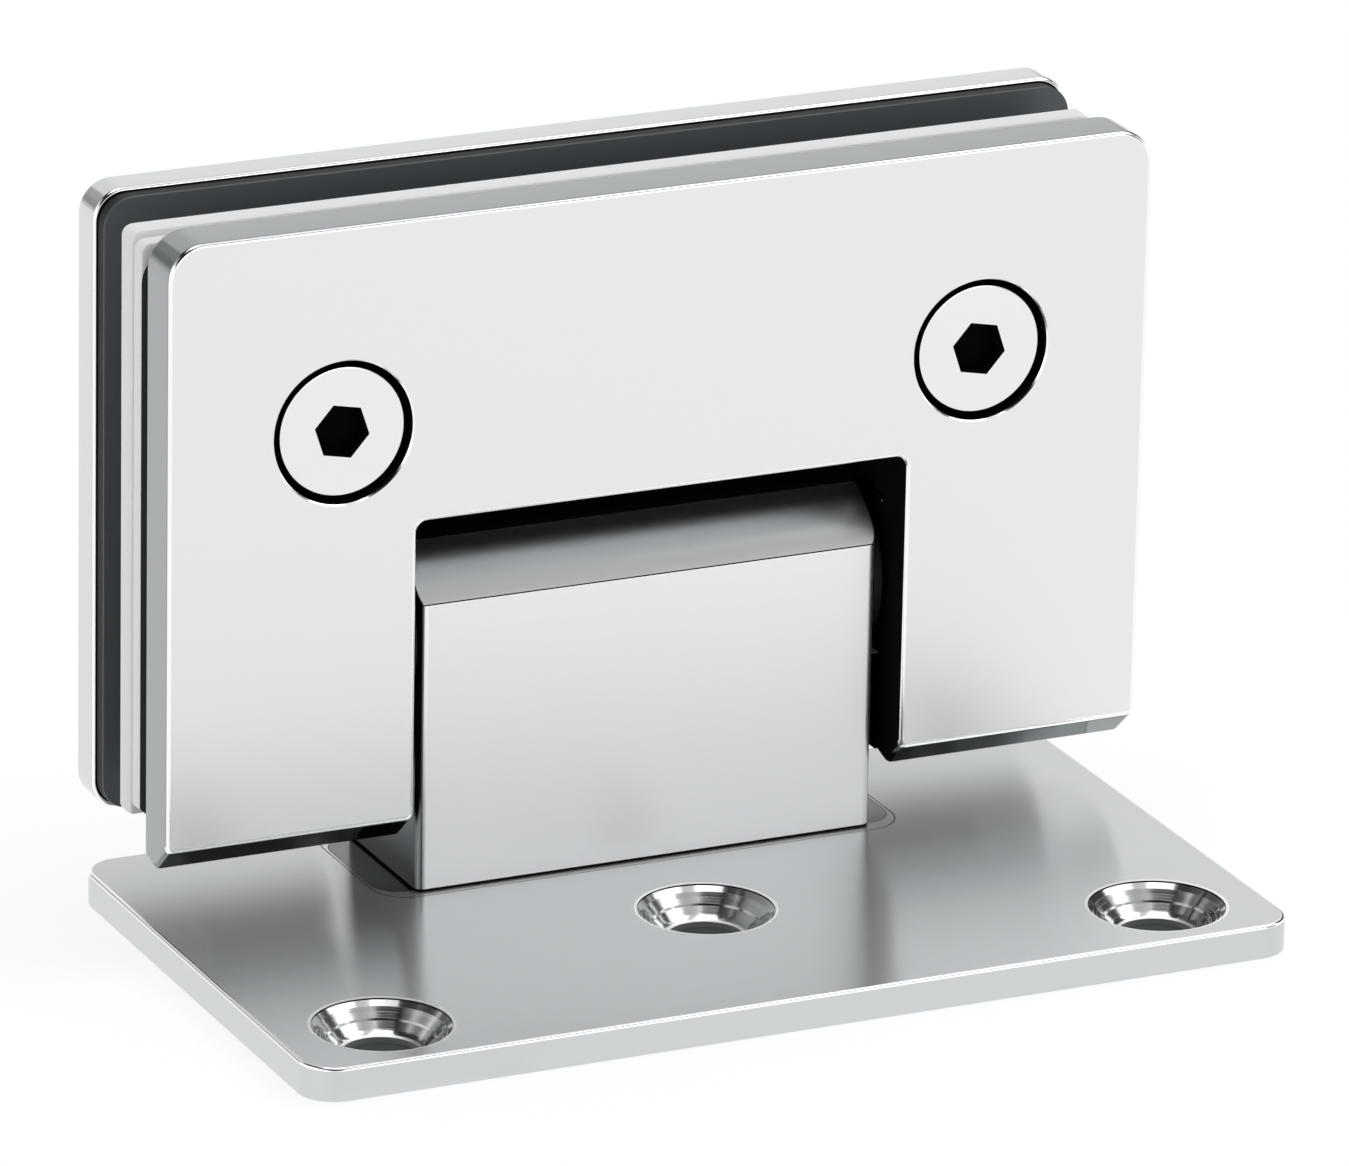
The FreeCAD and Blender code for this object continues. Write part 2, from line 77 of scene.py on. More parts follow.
# Wall plate.
# A flat stainless plate, ground on top to a half mirror, with eased edges. Three countersunk wall
# screws pass through it. The pivot block's foot lies in a shallow seat with a fine line round it.
wall_corner_r = 3.2
wall_top_ease = 0.3
wall_low_ease = 0.15
wall_screw_side_inset = 9.4
wall_screw_front_inset = 7.7
middle_screw_front_inset = 21.3
wall_screw_r = 3.3
wall_countersink_r = 6.1
wall_countersink_depth = 2.5
countersink_ring = 0.26
countersink_ring_drop = 0.05
countersink_step = 0.14
countersink_step_run = 0.02
neck_ring = 0.30
neck_ring_drop = 0.10
turned_groove_depth = 0.05
turned_groove_lean = 0.2
turned_groove_shares = (0.18, 0.34, 0.52, 0.60, 0.82)
foot_seam = 0.06
foot_corner_r = 2.6
foot_half_y = 6.8
seat_line_inset = 0.36
seat_line_half_y = 8.35
seat_line_corner_r = 3.2
seat_line_width = 0.09
seat_line_depth = 0.3
block_screw_pitch = 33.0
block_screw_r = 2.5
block_screw_head_r = 4.62
block_screw_head_rim = 0.1
# Edges that turn by square_corner or more are corners, and those above crisp_angle are drawn crisp.
# Cutters reach cut_past beyond what they cut, and near is how close counts as touching.
square_corner = 45.0
crisp_angle = 32.0
cut_past = 1.0
near = 0.01


def box_of(node):
    """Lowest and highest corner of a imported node, in millimetres."""
    low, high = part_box(node)
    return low / MM, high / MM


def slab(outline, push):
    """Solid made of a flat outline pushed out along a vector."""
    bm = bmesh.new()
    face = bm.faces.new([bm.verts.new(point) for point in outline])
    pushed = bmesh.ops.extrude_face_region(bm, geom=[face])
    moved = [item for item in pushed["geom"] if isinstance(item, bmesh.types.BMVert)]
    bmesh.ops.translate(bm, verts=moved, vec=push)
    bmesh.ops.recalc_face_normals(bm, faces=bm.faces)
    return bm


def edges_along(bm, axis, places):
    """Edges that run along one axis (0, 1 or 2) through the given places on the other two."""
    others = [index for index in range(3) if index != axis]
    found = []
    for edge in bm.edges:
        ends = [vert.co for vert in edge.verts]
        flat_ends = [Vector((end[others[0]], end[others[1]])) for end in ends]
        if any(all((end - Vector(place)).length < 0.1 * near for end in flat_ends) for place in places):
            found.append(edge)
    return found


def round_edges(bm, edges, radius, segments):
    """Round the given edges."""
    bmesh.ops.bevel(bm, geom=edges, offset=radius, offset_type="OFFSET", segments=segments,
                    profile=0.5, affect="EDGES", clamp_overlap=True, material=-1)


def sharp_edges(bm, least_angle=20.0):
    """Edges where the surface turns by more than an angle."""
    return [edge for edge in bm.edges
            if len(edge.link_faces) == 2 and edge.calc_face_angle() > math.radians(least_angle)]


def whole(bm):
    """All of a mesh, as the cutting operators take it."""
    return bm.verts[:] + bm.edges[:] + bm.faces[:]


def spun(profile, centre, axis, steps=96):
    """Solid turned about an axis from a profile of (radius, height along the axis) pairs."""
    axis = Vector(axis)
    side = Vector((1, 0, 0)) if abs(axis.x) < 0.5 else Vector((0, 1, 0))
    bm = bmesh.new()
    verts = [bm.verts.new(Vector(centre) + side * radius + axis * height) for radius, height in profile]
    edges = [bm.edges.new(pair) for pair in zip(verts, verts[1:])]
    bmesh.ops.spin(bm, geom=verts + edges, cent=centre, axis=axis, dvec=(0, 0, 0),
                   angle=math.tau, steps=steps, use_merge=True, use_duplicate=False)
    bmesh.ops.remove_doubles(bm, verts=bm.verts, dist=1e-4)
    bmesh.ops.recalc_face_normals(bm, faces=bm.faces)
    return bm


def carved(bm, tool, operation="DIFFERENCE"):
    """The solid after the tool's solid is cut from it, joined to it or intersected with it."""
    made = []
    for source in (bm, tool):
        mesh = bpy.data.meshes.new("carve")
        source.to_mesh(mesh)
        source.free()
        made.append(bpy.data.objects.new("carve", mesh))
        scene.collection.objects.link(made[-1])
    body, cutter = made
    boolean = body.modifiers.new("boolean", "BOOLEAN")
    boolean.operation = operation
    boolean.solver = "EXACT"
    boolean.object = cutter
    graph = bpy.context.evaluated_depsgraph_get()
    result = bmesh.new()
    result.from_mesh(body.evaluated_get(graph).to_mesh())
    for item in made:
        bpy.data.objects.remove(item)
    return result


def drilled(bm, radius, depth, mouth, axis, steps=48):
    """The solid with a plain round hole cut into it from its mouth along an axis."""
    drill = [(0, -cut_past), (radius, -cut_past), (radius, depth), (0, depth)]
    return carved(bm, spun(drill, mouth, axis, steps))


def lay_grain(bm, turned):
    """UV map in millimetres whose u runs across the grinding marks.

    The marks run along X, and round the axis on faces within a turned hollow or head, which is
    given as its centre, axis and reach."""
    layer = bm.loops.layers.uv.new("across_grain")
    bm.normal_update()
    for face in bm.faces:
        middle = face.calc_center_median()
        across = face.normal.cross((1, 0, 0))
        if across.length < 0.3:
            across = face.normal.cross((0, 1, 0))
        across.normalize()
        along = across.cross(face.normal)
        for loop in face.loops:
            loop[layer].uv = (loop.vert.co.dot(across), loop.vert.co.dot(along))
        for centre, axis, reach in turned:
            first = Vector((1, 0, 0))
            second = axis.cross(first)
            arm = middle - centre
            if math.hypot(arm.dot(first), arm.dot(second)) > reach:
                continue
            middle_angle = math.atan2(arm.dot(second), arm.dot(first))
            for loop in face.loops:
                arm = loop.vert.co - centre
                radius = math.hypot(arm.dot(first), arm.dot(second))
                angle = math.atan2(arm.dot(second), arm.dot(first)) - middle_angle
                angle = (angle + math.pi) % math.tau - math.pi + middle_angle
                loop[layer].uv = (radius + arm.dot(axis), angle * reach / 2)


def new_piece(bm, name, body, materials, replaced, turned=()):
    """Object in metres from a mesh in millimetres, with crisp edges kept and rounds smooth."""
    lay_grain(bm, turned)
    bmesh.ops.scale(bm, vec=(MM, MM, MM), verts=bm.verts)
    mesh = bpy.data.meshes.new(name)
    bm.to_mesh(mesh)
    bm.free()
    for material in materials:
        mesh.materials.append(material)
    mesh.shade_smooth()
    mesh.set_sharp_from_angle(angle=math.radians(crisp_angle))
    piece = bpy.data.objects.new(name, mesh)
    scene.collection.objects.link(piece)
    normals = piece.modifiers.new("face_weighted_normals", "WEIGHTED_NORMAL")
    normals.keep_sharp = True
    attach(piece, body)
    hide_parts(*replaced)
    return piece


def brushed_steel(name, colour, roughness, one_way, spread, bump_strength, across=2.5, along=0.03):
    """Stainless steel with fine marks, whose gloss spreads across them.

    across and along are the marks' scales per millimetre."""
    material = bpy.data.materials.new(name)
    material.use_nodes = True
    tree = material.node_tree
    shader = tree.nodes["Principled BSDF"]
    shader.inputs["Base Color"].default_value = (*colour, 1)
    shader.inputs["Metallic"].default_value = 1.0
    shader.inputs["Anisotropic"].default_value = one_way
    place = tree.nodes.new("ShaderNodeUVMap")
    place.uv_map = "across_grain"
    tangent = tree.nodes.new("ShaderNodeTangent")
    tangent.direction_type = "UV_MAP"
    tangent.uv_map = "across_grain"
    stretch = tree.nodes.new("ShaderNodeMapping")
    stretch.inputs["Scale"].default_value = (across, along, 1)
    marks = tree.nodes.new("ShaderNodeTexNoise")
    marks.inputs["Scale"].default_value = 1.0
    marks.inputs["Detail"].default_value = 4.0
    marks.inputs["Roughness"].default_value = 0.6
    gloss = tree.nodes.new("ShaderNodeMapRange")
    gloss.inputs["From Min"].default_value = 0.3
    gloss.inputs["From Max"].default_value = 0.7
    gloss.inputs["To Min"].default_value = roughness - spread
    gloss.inputs["To Max"].default_value = roughness + spread
    bump = tree.nodes.new("ShaderNodeBump")
    bump.inputs["Strength"].default_value = bump_strength
    bump.inputs["Distance"].default_value = 0.00002
    tree.links.new(place.outputs["UV"], stretch.inputs["Vector"])
    tree.links.new(stretch.outputs["Vector"], marks.inputs["Vector"])
    tree.links.new(marks.outputs["Fac"], gloss.inputs["Value"])
    tree.links.new(marks.outputs["Fac"], bump.inputs["Height"])
    tree.links.new(gloss.outputs["Result"], shader.inputs["Roughness"])
    tree.links.new(bump.outputs["Normal"], shader.inputs["Normal"])
    tree.links.new(tangent.outputs["Tangent"], shader.inputs["Tangent"])
    return material


def plastic(name, colour, roughness, mottle_scale, mottle, gloss=0.5):
    """Moulded or die-cut surface, or a dark one painted in as shade, with a faint mottle in its gloss."""
    material = bpy.data.materials.new(name)
    material.use_nodes = True
    tree = material.node_tree
    shader = tree.nodes["Principled BSDF"]
    shader.inputs["Base Color"].default_value = (*colour, 1)
    shader.inputs["Specular IOR Level"].default_value = gloss
    place = tree.nodes.new("ShaderNodeTexCoord")
    grain = tree.nodes.new("ShaderNodeTexNoise")
    grain.inputs["Scale"].default_value = mottle_scale
    grain.inputs["Detail"].default_value = 3.0
    spread = tree.nodes.new("ShaderNodeMapRange")
    spread.inputs["To Min"].default_value = roughness - mottle
    spread.inputs["To Max"].default_value = roughness + mottle
    bump = tree.nodes.new("ShaderNodeBump")
    bump.inputs["Strength"].default_value = 0.15
    bump.inputs["Distance"].default_value = 0.00003
    tree.links.new(place.outputs["Object"], grain.inputs["Vector"])
    tree.links.new(grain.outputs["Fac"], spread.inputs["Value"])
    tree.links.new(grain.outputs["Fac"], bump.inputs["Height"])
    tree.links.new(spread.outputs["Result"], shader.inputs["Roughness"])
    tree.links.new(bump.outputs["Normal"], shader.inputs["Normal"])
    return material


wall_low, wall_high = box_of("wall_plate")
block_low, block_high = box_of("pivot_block")
pivot_y = (block_low.y + block_high.y) / 2


def rectangle(x0, x1, y0, y1, z):
    """Corners of a level rectangle, anticlockwise from above."""
    return [Vector((x0, y0, z)), Vector((x1, y0, z)), Vector((x1, y1, z)), Vector((x0, y1, z))]


def rounded_bar(x0, x1, y0, y1, z0, z1, radius, segments=10):
    """Upright bar whose outline is a rectangle with round corners."""
    bm = slab(rectangle(x0, x1, y0, y1, z0), Vector((0, 0, z1 - z0)))
    corners = [(x, y) for x in (x0, x1) for y in (y0, y1)]
    round_edges(bm, edges_along(bm, 2, corners), radius, segments)
    return bm


def countersink_profile(rim_r, neck_r, depth, height):
    """Cutter's profile for a countersink: a rim ring, a step, a turned cone, a neck ring and the bore; both
    rings are later painted as bright highlights.
    """
    ring_slope = countersink_ring_drop / countersink_ring
    rim_past = 2 * cut_past
    profile = [(0, cut_past), (rim_r + rim_past, cut_past), (rim_r + rim_past, rim_past * ring_slope),
               (rim_r - countersink_ring, -countersink_ring_drop)]
    cone_r = rim_r - countersink_ring - countersink_step_run
    cone_top = -countersink_ring_drop - countersink_step
    cone_foot_r = neck_r + neck_ring
    cone_foot = neck_ring_drop - depth
    profile.append((cone_r, cone_top))
    for share in turned_groove_shares:
        radius = cone_r + share * (cone_foot_r - cone_r)
        level = cone_top + share * (cone_foot - cone_top)
        profile.append((radius, level))
        profile.append((radius - turned_groove_depth, level + turned_groove_lean * turned_groove_depth))
    profile += [(cone_foot_r, cone_foot), (neck_r, -depth), (neck_r, -height), (0, -height)]
    return profile


wall_plate = rounded_bar(wall_low.x, wall_high.x, wall_low.y, wall_high.y, wall_low.z, wall_high.z,
                         wall_corner_r, segments=12)
top_rim = [edge for edge in sharp_edges(wall_plate, square_corner)
           if all(vert.co.z > wall_high.z - near for vert in edge.verts)]
round_edges(wall_plate, top_rim, wall_top_ease, 3)
low_rim = [edge for edge in sharp_edges(wall_plate, square_corner)
           if all(vert.co.z < wall_low.z + near for vert in edge.verts)]
round_edges(wall_plate, low_rim, wall_low_ease, 2)
wall_screw_x = wall_high.x - wall_screw_side_inset
wall_screw_places = [(-wall_screw_x, wall_low.y + wall_screw_front_inset),
                     (wall_screw_x, wall_low.y + wall_screw_front_inset),
                     (0, wall_low.y + middle_screw_front_inset)]
countersink = countersink_profile(wall_countersink_r, wall_screw_r, wall_countersink_depth,
                                  wall_high.z + cut_past)
for x, y in wall_screw_places:
    wall_plate = carved(wall_plate, spun(countersink, (x, y, wall_high.z), (0, 0, 1)))
foot_half_x = block_high.x - seat_line_inset
seat = rounded_bar(-foot_half_x - foot_seam, foot_half_x + foot_seam,
                   pivot_y - foot_half_y - foot_seam, pivot_y + foot_half_y + foot_seam,
                   block_low.z, wall_high.z + cut_past, foot_corner_r + foot_seam)
wall_plate = carved(wall_plate, seat)
line_outside = rounded_bar(block_low.x, block_high.x,
                           pivot_y - seat_line_half_y, pivot_y + seat_line_half_y,
                           wall_high.z - seat_line_depth, wall_high.z + cut_past, seat_line_corner_r)
line_inner_half_y = seat_line_half_y - seat_line_width
line_inside = rounded_bar(block_low.x + seat_line_width, block_high.x - seat_line_width,
                          pivot_y - line_inner_half_y, pivot_y + line_inner_half_y,
                          wall_high.z - cut_past, wall_high.z + 2 * cut_past,
                          seat_line_corner_r - seat_line_width)
wall_plate = carved(wall_plate, carved(line_outside, line_inside))
head_recess = [(0, -cut_past), (block_screw_head_r, -cut_past), (block_screw_head_r, block_screw_head_rim),
               (block_screw_r, block_screw_head_r - block_screw_r + block_screw_head_rim),
               (block_screw_r, wall_high.z), (0, wall_high.z)]
for side in (-1, 1):
    recess_foot = (side * block_screw_pitch / 2, pivot_y, wall_low.z)
    wall_plate = carved(wall_plate, spun(head_recess, recess_foot, (0, 0, 1), steps=48))
wall_face_steel = brushed_steel("half_mirror_steel", (0.67, 0.69, 0.70), roughness=0.255, one_way=0.95,
                                spread=0.005, bump_strength=0.001)
wall_edge_steel = brushed_steel("ground_edge_steel", (0.64, 0.66, 0.67), roughness=0.30, one_way=0.3,
                                spread=0.02, bump_strength=0.02)
cone_steel = brushed_steel("turned_cone_steel", (0.66, 0.68, 0.69), roughness=0.16, one_way=0.6,
                           spread=0.03, bump_strength=0.12, across=5.0)
# Painted highlight: steel near white, for the bright rings in the countersinks and the lines on the block's
# front corners.
line_highlight_steel = brushed_steel("painted_highlight_line_steel", (0.98, 0.99, 0.99), roughness=0.35, one_way=0.0,
                           spread=0.02, bump_strength=0.02)
# Painted highlight: polished bevels painted near white, as a bright line along the eased edges.
bevel_highlight_steel = brushed_steel("painted_highlight_bevel_steel", (0.96, 0.97, 0.97), roughness=0.14, one_way=0.0,
                            spread=0.02, bump_strength=0.01)
bore_shade = plastic("unlit_bore", (0.09, 0.10, 0.105), roughness=0.6, mottle_scale=900, mottle=0.05)
# Painted shadow: near-black and without gloss, put on recesses, lines, notch walls and sockets where shade
# falls.
shadow_black = plastic("painted_shadow_black", (0.006, 0.006, 0.007), roughness=0.6, mottle_scale=900,
                       mottle=0.05, gloss=0.0)
wall_finishes = [wall_face_steel, wall_edge_steel, cone_steel, line_highlight_steel, bore_shade, shadow_black,
                 bevel_highlight_steel]
cone_foot_z = wall_high.z - wall_countersink_depth + neck_ring_drop
step_foot_z = wall_high.z - countersink_ring_drop - countersink_step
for face in wall_plate.faces:
    middle = face.calc_center_median()
    from_screws = min(math.hypot(middle.x - x, middle.y - y) for x, y in wall_screw_places)
    at_seat = abs(middle.y - pivot_y) < seat_line_half_y + near and abs(middle.x) < block_high.x
    finish = wall_face_steel
    if from_screws < wall_countersink_r - near / 2:
        if from_screws < wall_screw_r + near:
            finish = bore_shade
        # The rim and neck rings: painted highlight.
        elif from_screws > wall_countersink_r - countersink_ring or middle.z < cone_foot_z:
            finish = line_highlight_steel
        # The step's upright wall below the rim: painted shadow.
        elif abs(face.normal.z) < 0.3 and middle.z > step_foot_z:
            finish = shadow_black
        else:
            finish = cone_steel
    # The upright walls of the seat and the seat line: painted shadow.
    elif at_seat and abs(face.normal.z) < 0.5:
        finish = shadow_black
    elif middle.z < wall_high.z - wall_top_ease:
        finish = wall_edge_steel
    # The top's eased rim: painted highlight.
    elif face.normal.z < 0.99:
        finish = bevel_highlight_steel
    face.material_index = wall_finishes.index(finish)
countersinks = [(Vector((x, y, wall_high.z)), Vector((0, 0, 1)), wall_countersink_r)
                for x, y in wall_screw_places]
new_piece(wall_plate, "ground_wall_plate", "wall_side", wall_finishes, ["wall_plate"],
          countersinks)


# Pivot block.
# One machined bar of stainless steel, satin brushed along its length. Its crown is turned round the
# pin, its upright corners are rounded, and its thin foot is let into the wall plate.
block_width = 42.4
block_crown = 0.9
block_corner_r = 0.8
block_edge_ease = 0.25
pivot_z = 24.8
pin_bore_r = 5.15
bush_seat_r = 6.27
bush_length = 8.0
plunger_pitch = 18.0
plunger_bore_r = 3.55
tapped_hole_r = 2.53
tapped_hole_depth = 12.9
crown_steps = 48
# crown_shade_slope, crease_line and foot_shadow place painted shadow: on the crown's top, as a thin line
# just above the crease and as a band along the foot.
crown_shade_slope = 0.955
crease_line = (0.04, 0.14)
foot_shadow = 0.26
block_least_corner = 22.0

block_half = block_width / 2
crown_r = (block_high.y - block_low.y) / 2 + block_crown
crease_angle = math.asin((block_high.y - pivot_y) / crown_r)
crease_z = pivot_z + crown_r * math.cos(crease_angle)
crowned = bmesh.new()
first = crowned.verts.new((-block_half, block_low.y, crease_z))
arc = bmesh.ops.spin(crowned, geom=[first], cent=(-block_half, pivot_y, pivot_z), axis=(1, 0, 0),
                     dvec=(0, 0, 0), angle=-2 * crease_angle, steps=crown_steps, use_merge=False,
                     use_duplicate=False)
last = [item for item in arc["geom_last"] if isinstance(item, bmesh.types.BMVert)][0]
rear_foot = crowned.verts.new((-block_half, block_high.y, wall_high.z))
front_foot = crowned.verts.new((-block_half, block_low.y, wall_high.z))
for pair in ((last, rear_foot), (rear_foot, front_foot), (front_foot, first)):
    crowned.edges.new(pair)
end_face = bmesh.ops.contextual_create(crowned, geom=crowned.edges[:])["faces"]
pushed = bmesh.ops.extrude_face_region(crowned, geom=end_face)
moved = [item for item in pushed["geom"] if isinstance(item, bmesh.types.BMVert)]
bmesh.ops.translate(crowned, verts=moved, vec=(block_width, 0, 0))
bmesh.ops.recalc_face_normals(crowned, faces=crowned.faces)
upright = rounded_bar(-block_half, block_half, block_low.y, block_high.y, wall_high.z,
                      block_high.z + cut_past, block_corner_r, segments=8)
block = carved(crowned, upright, "INTERSECT")
bmesh.ops.remove_doubles(block, verts=block.verts, dist=1e-3)
round_edges(block, sharp_edges(block, block_least_corner), block_edge_ease, 2)
# Cut the block where the painted shadow bands begin and end.
for level in (wall_high.z + foot_shadow, crease_z + crease_line[0], crease_z + crease_line[1]):
    bmesh.ops.bisect_plane(block, geom=whole(block), plane_co=(0, 0, level), plane_no=(0, 0, 1), dist=1e-5)
foot = rounded_bar(-foot_half_x, foot_half_x, pivot_y - foot_half_y, pivot_y + foot_half_y, block_low.z,
                   wall_high.z, foot_corner_r)
block = carved(block, foot, "UNION")
far_end = block_width + cut_past
pin_bore = [(0, -cut_past), (bush_seat_r, -cut_past), (bush_seat_r, bush_length), (pin_bore_r, bush_length),
            (pin_bore_r, block_width - bush_length), (bush_seat_r, block_width - bush_length),
            (bush_seat_r, far_end), (0, far_end)]
block = carved(block, spun(pin_bore, (-block_half, pivot_y, pivot_z), (1, 0, 0), steps=64))
for side in (-1, 1):
    block = drilled(block, plunger_bore_r, pivot_z - block_low.z,
                    (side * plunger_pitch / 2, pivot_y, block_low.z), (0, 0, 1))
    block = drilled(block, tapped_hole_r, tapped_hole_depth,
                    (side * block_screw_pitch / 2, pivot_y, block_low.z), (0, 0, 1), steps=32)
block_steel = brushed_steel("brushed_block_steel", (0.92, 0.93, 0.94), roughness=0.46, one_way=0.2,
                            spread=0.03, bump_strength=0.10, across=5.0)
crown_steel = brushed_steel("polished_crown_steel", (0.65, 0.67, 0.68), roughness=0.32, one_way=0.4,
                            spread=0.02, bump_strength=0.03)
# Painted shade: the block's ends are a darker copy of its steel.
end_shade_steel = brushed_steel("painted_shade_end_steel", (0.22, 0.235, 0.245), roughness=0.30, one_way=0.3,
                                spread=0.02, bump_strength=0.05)
# Painted shade: the foot's upward faces are a dark copy of the steel.
painted_shade_foot_steel = brushed_steel("painted_shade_foot_steel", (0.16, 0.17, 0.176), roughness=0.21, one_way=0.3, spread=0.005,
                           bump_strength=0.001)
block_finishes = [block_steel, shadow_black, crown_steel, end_shade_steel, painted_shade_foot_steel, line_highlight_steel]
for face in block.faces:
    middle = face.calc_center_median()
    above_crease = middle.z > crease_z
    at_foot = wall_high.z + 0.1 * near < middle.z < wall_high.z + foot_shadow
    on_crease = abs(face.normal.y) > 0.8 and crease_line[0] < middle.z - crease_z < crease_line[1]
    finish = block_steel
    # Painted shadow: the band along the foot, the line above the crease and the crown's top under the
    # notch.
    if at_foot or on_crease or (above_crease and face.normal.z > crown_shade_slope):
        finish = shadow_black
    # The foot's top: painted shade.
    elif middle.z < crease_z and face.normal.z > 0.9:
        finish = painted_shade_foot_steel
    elif above_crease and face.normal.z > 0.3:
        finish = crown_steel
    # The ends: painted shade.
    elif face.normal.x < -0.4 or face.normal.x > 0.8:
        finish = end_shade_steel
    # The front parts of the round upright corners: a painted highlight line.
    elif -0.35 < face.normal.x < -0.05 and abs(face.normal.z) < 0.1:
        finish = line_highlight_steel
    face.material_index = block_finishes.index(finish)
new_piece(block, "machined_pivot_block", "wall_side", block_finishes, ["pivot_block"])


# Pivot pin, bushes, plungers, springs and block screws.
# The pin turns in two flanged bushes of black acetal. Hardened plungers are pushed up against it by
# die springs, and two socket screws from behind the wall plate hold the block.
def steel(name, colour, roughness, streak_scale, streak_bump, streak_spread):
    """Stainless steel with fine grinding streaks; the scale is in streaks per metre on each axis."""
    material = bpy.data.materials.new(name)
    material.use_nodes = True
    tree = material.node_tree
    shader = tree.nodes["Principled BSDF"]
    shader.inputs["Base Color"].default_value = (*colour, 1)
    shader.inputs["Metallic"].default_value = 1.0
    place = tree.nodes.new("ShaderNodeTexCoord")
    stretch = tree.nodes.new("ShaderNodeMapping")
    stretch.inputs["Scale"].default_value = streak_scale
    streaks = tree.nodes.new("ShaderNodeTexNoise")
    streaks.inputs["Scale"].default_value = 1.0
    streaks.inputs["Detail"].default_value = 4.0
    streaks.inputs["Roughness"].default_value = 0.6
    spread = tree.nodes.new("ShaderNodeMapRange")
    spread.inputs["From Min"].default_value = 0.3
    spread.inputs["From Max"].default_value = 0.7
    spread.inputs["To Min"].default_value = roughness - streak_spread
    spread.inputs["To Max"].default_value = roughness + streak_spread
    bump = tree.nodes.new("ShaderNodeBump")
    bump.inputs["Strength"].default_value = streak_bump
    bump.inputs["Distance"].default_value = 0.00002
    tree.links.new(place.outputs["Object"], stretch.inputs["Vector"])
    tree.links.new(stretch.outputs["Vector"], streaks.inputs["Vector"])
    tree.links.new(streaks.outputs["Fac"], spread.inputs["Value"])
    tree.links.new(streaks.outputs["Fac"], bump.inputs["Height"])
    tree.links.new(spread.outputs["Result"], shader.inputs["Roughness"])
    tree.links.new(bump.outputs["Normal"], shader.inputs["Normal"])
    return material


pin_steel = steel("turned_pin_steel", (0.70, 0.71, 0.72), roughness=0.20, streak_scale=(3000, 60, 60),
                  streak_bump=0.10, streak_spread=0.04)
plunger_steel = steel("hardened_plunger_steel", (0.58, 0.58, 0.60), roughness=0.22,
                      streak_scale=(60, 60, 2500), streak_bump=0.10, streak_spread=0.04)
spring_steel = steel("drawn_spring_steel", (0.42, 0.43, 0.45), roughness=0.35,
                     streak_scale=(400, 400, 400), streak_bump=0.15, streak_spread=0.06)
screw_steel = steel("screw_steel", (0.86, 0.86, 0.87), roughness=0.24, streak_scale=(500, 500, 500),
                    streak_bump=0.05, streak_spread=0.04)
black_acetal = plastic("black_acetal", (0.012, 0.012, 0.013), roughness=0.5, mottle_scale=900,
                       mottle=0.06, gloss=0.15)
inner_finishes = [("pivot_pin", pin_steel)]
for side in ("left", "right"):
    inner_finishes += [("pin_bush_" + side, black_acetal), ("plunger_" + side, plunger_steel),
                       ("spring_" + side, spring_steel), ("block_screw_" + side, screw_steel)]
for node, finish in inner_finishes:
    nodes[node].material_slots[0].material = finish


# Rear plate.
# The clamp plate behind the glass: stainless, plain outside, with round lower corners. Its inner face
# carries two saddles that grip the pin's square ends, and two tapped bosses for the clamp screws.
notch_half = 22.6
notch_top = 37.1
notch_corner_r = 1.0
rear_corner_r = 2.8
rear_foot_r = 2.5
plate_ease = 0.3
saddle_end_x = 35.64
saddle_half_z = 6.94
saddle_recess_half = 3.54
saddle_recess_end_x = 34.64
saddle_part_gap = 0.3
saddle_ease = 0.15
boss_outer_r = 5.03
boss_inner_r = 3.03
boss_ease = 0.3
boss_hole_past_tip = 0.6
join_overlap = 0.2

rear_low, rear_high = box_of("rear_plate")
rear_inner_y = box_of("rear_gasket")[1].y
screw_low, screw_high = box_of("clamp_screw_right")
clamp_screw_x = (screw_low.x + screw_high.x) / 2
clamp_screw_z = (screw_low.z + screw_high.z) / 2


def leaf_slab(low, high, y0, y1, corner_r, foot_r, notch_gap=0.0, steps=()):
    """One layer of the leaf between two depths, with round corners and a notch below.

    steps lists further corners of the notch's right side, from its top down."""
    gap_half = notch_half + notch_gap
    gap_top = notch_top + notch_gap
    half_gap = [(gap_half, gap_top), *steps]
    foot_x = half_gap[-1][0]
    right = half_gap + [(foot_x, low.z), (high.x, low.z), (high.x, high.z)]
    left = [(low.x, high.z), (low.x, low.z), (-foot_x, low.z)]
    left += [(-x, z) for x, z in reversed(half_gap)]
    bm = slab([Vector((x, y0, z)) for x, z in right + left], Vector((0, y1 - y0, 0)))
    round_edges(bm, edges_along(bm, 1, [(low.x, high.z), (high.x, high.z)]), corner_r, 10)
    if foot_r:
        round_edges(bm, edges_along(bm, 1, [(low.x, low.z), (high.x, low.z)]), foot_r, 10)
    notch_places = [(-gap_half, gap_top), (gap_half, gap_top)]
    round_edges(bm, edges_along(bm, 1, notch_places), notch_corner_r, 6)
    return bm


def bar(x0, x1, y0, y1, z0, z1):
    """Plain bar, for the blocks and cutters that plates are made with."""
    return slab(rectangle(x0, x1, y0, y1, z0), Vector((0, 0, z1 - z0)))


def with_saddles(plate, plate_y, into):
    """A clamp plate joined to its two saddles, whose recesses take the pin's square ends."""
    face_y = pivot_y - into * saddle_part_gap / 2
    for side in (-1, 1):
        x0, x1 = sorted((side * notch_half, side * saddle_end_x))
        y0, y1 = sorted((plate_y - into * join_overlap, face_y))
        saddle = bar(x0, x1, y0, y1, pivot_z - saddle_half_z, pivot_z + saddle_half_z)
        x0, x1 = sorted((side * (notch_half - cut_past), side * saddle_recess_end_x))
        recess = bar(x0, x1, pivot_y - saddle_recess_half, pivot_y + saddle_recess_half,
                     pivot_z - saddle_recess_half, pivot_z + saddle_recess_half)
        saddle = carved(saddle, recess)
        round_edges(saddle, sharp_edges(saddle, square_corner), saddle_ease, 1)
        plate = carved(plate, saddle, "UNION")
    return plate


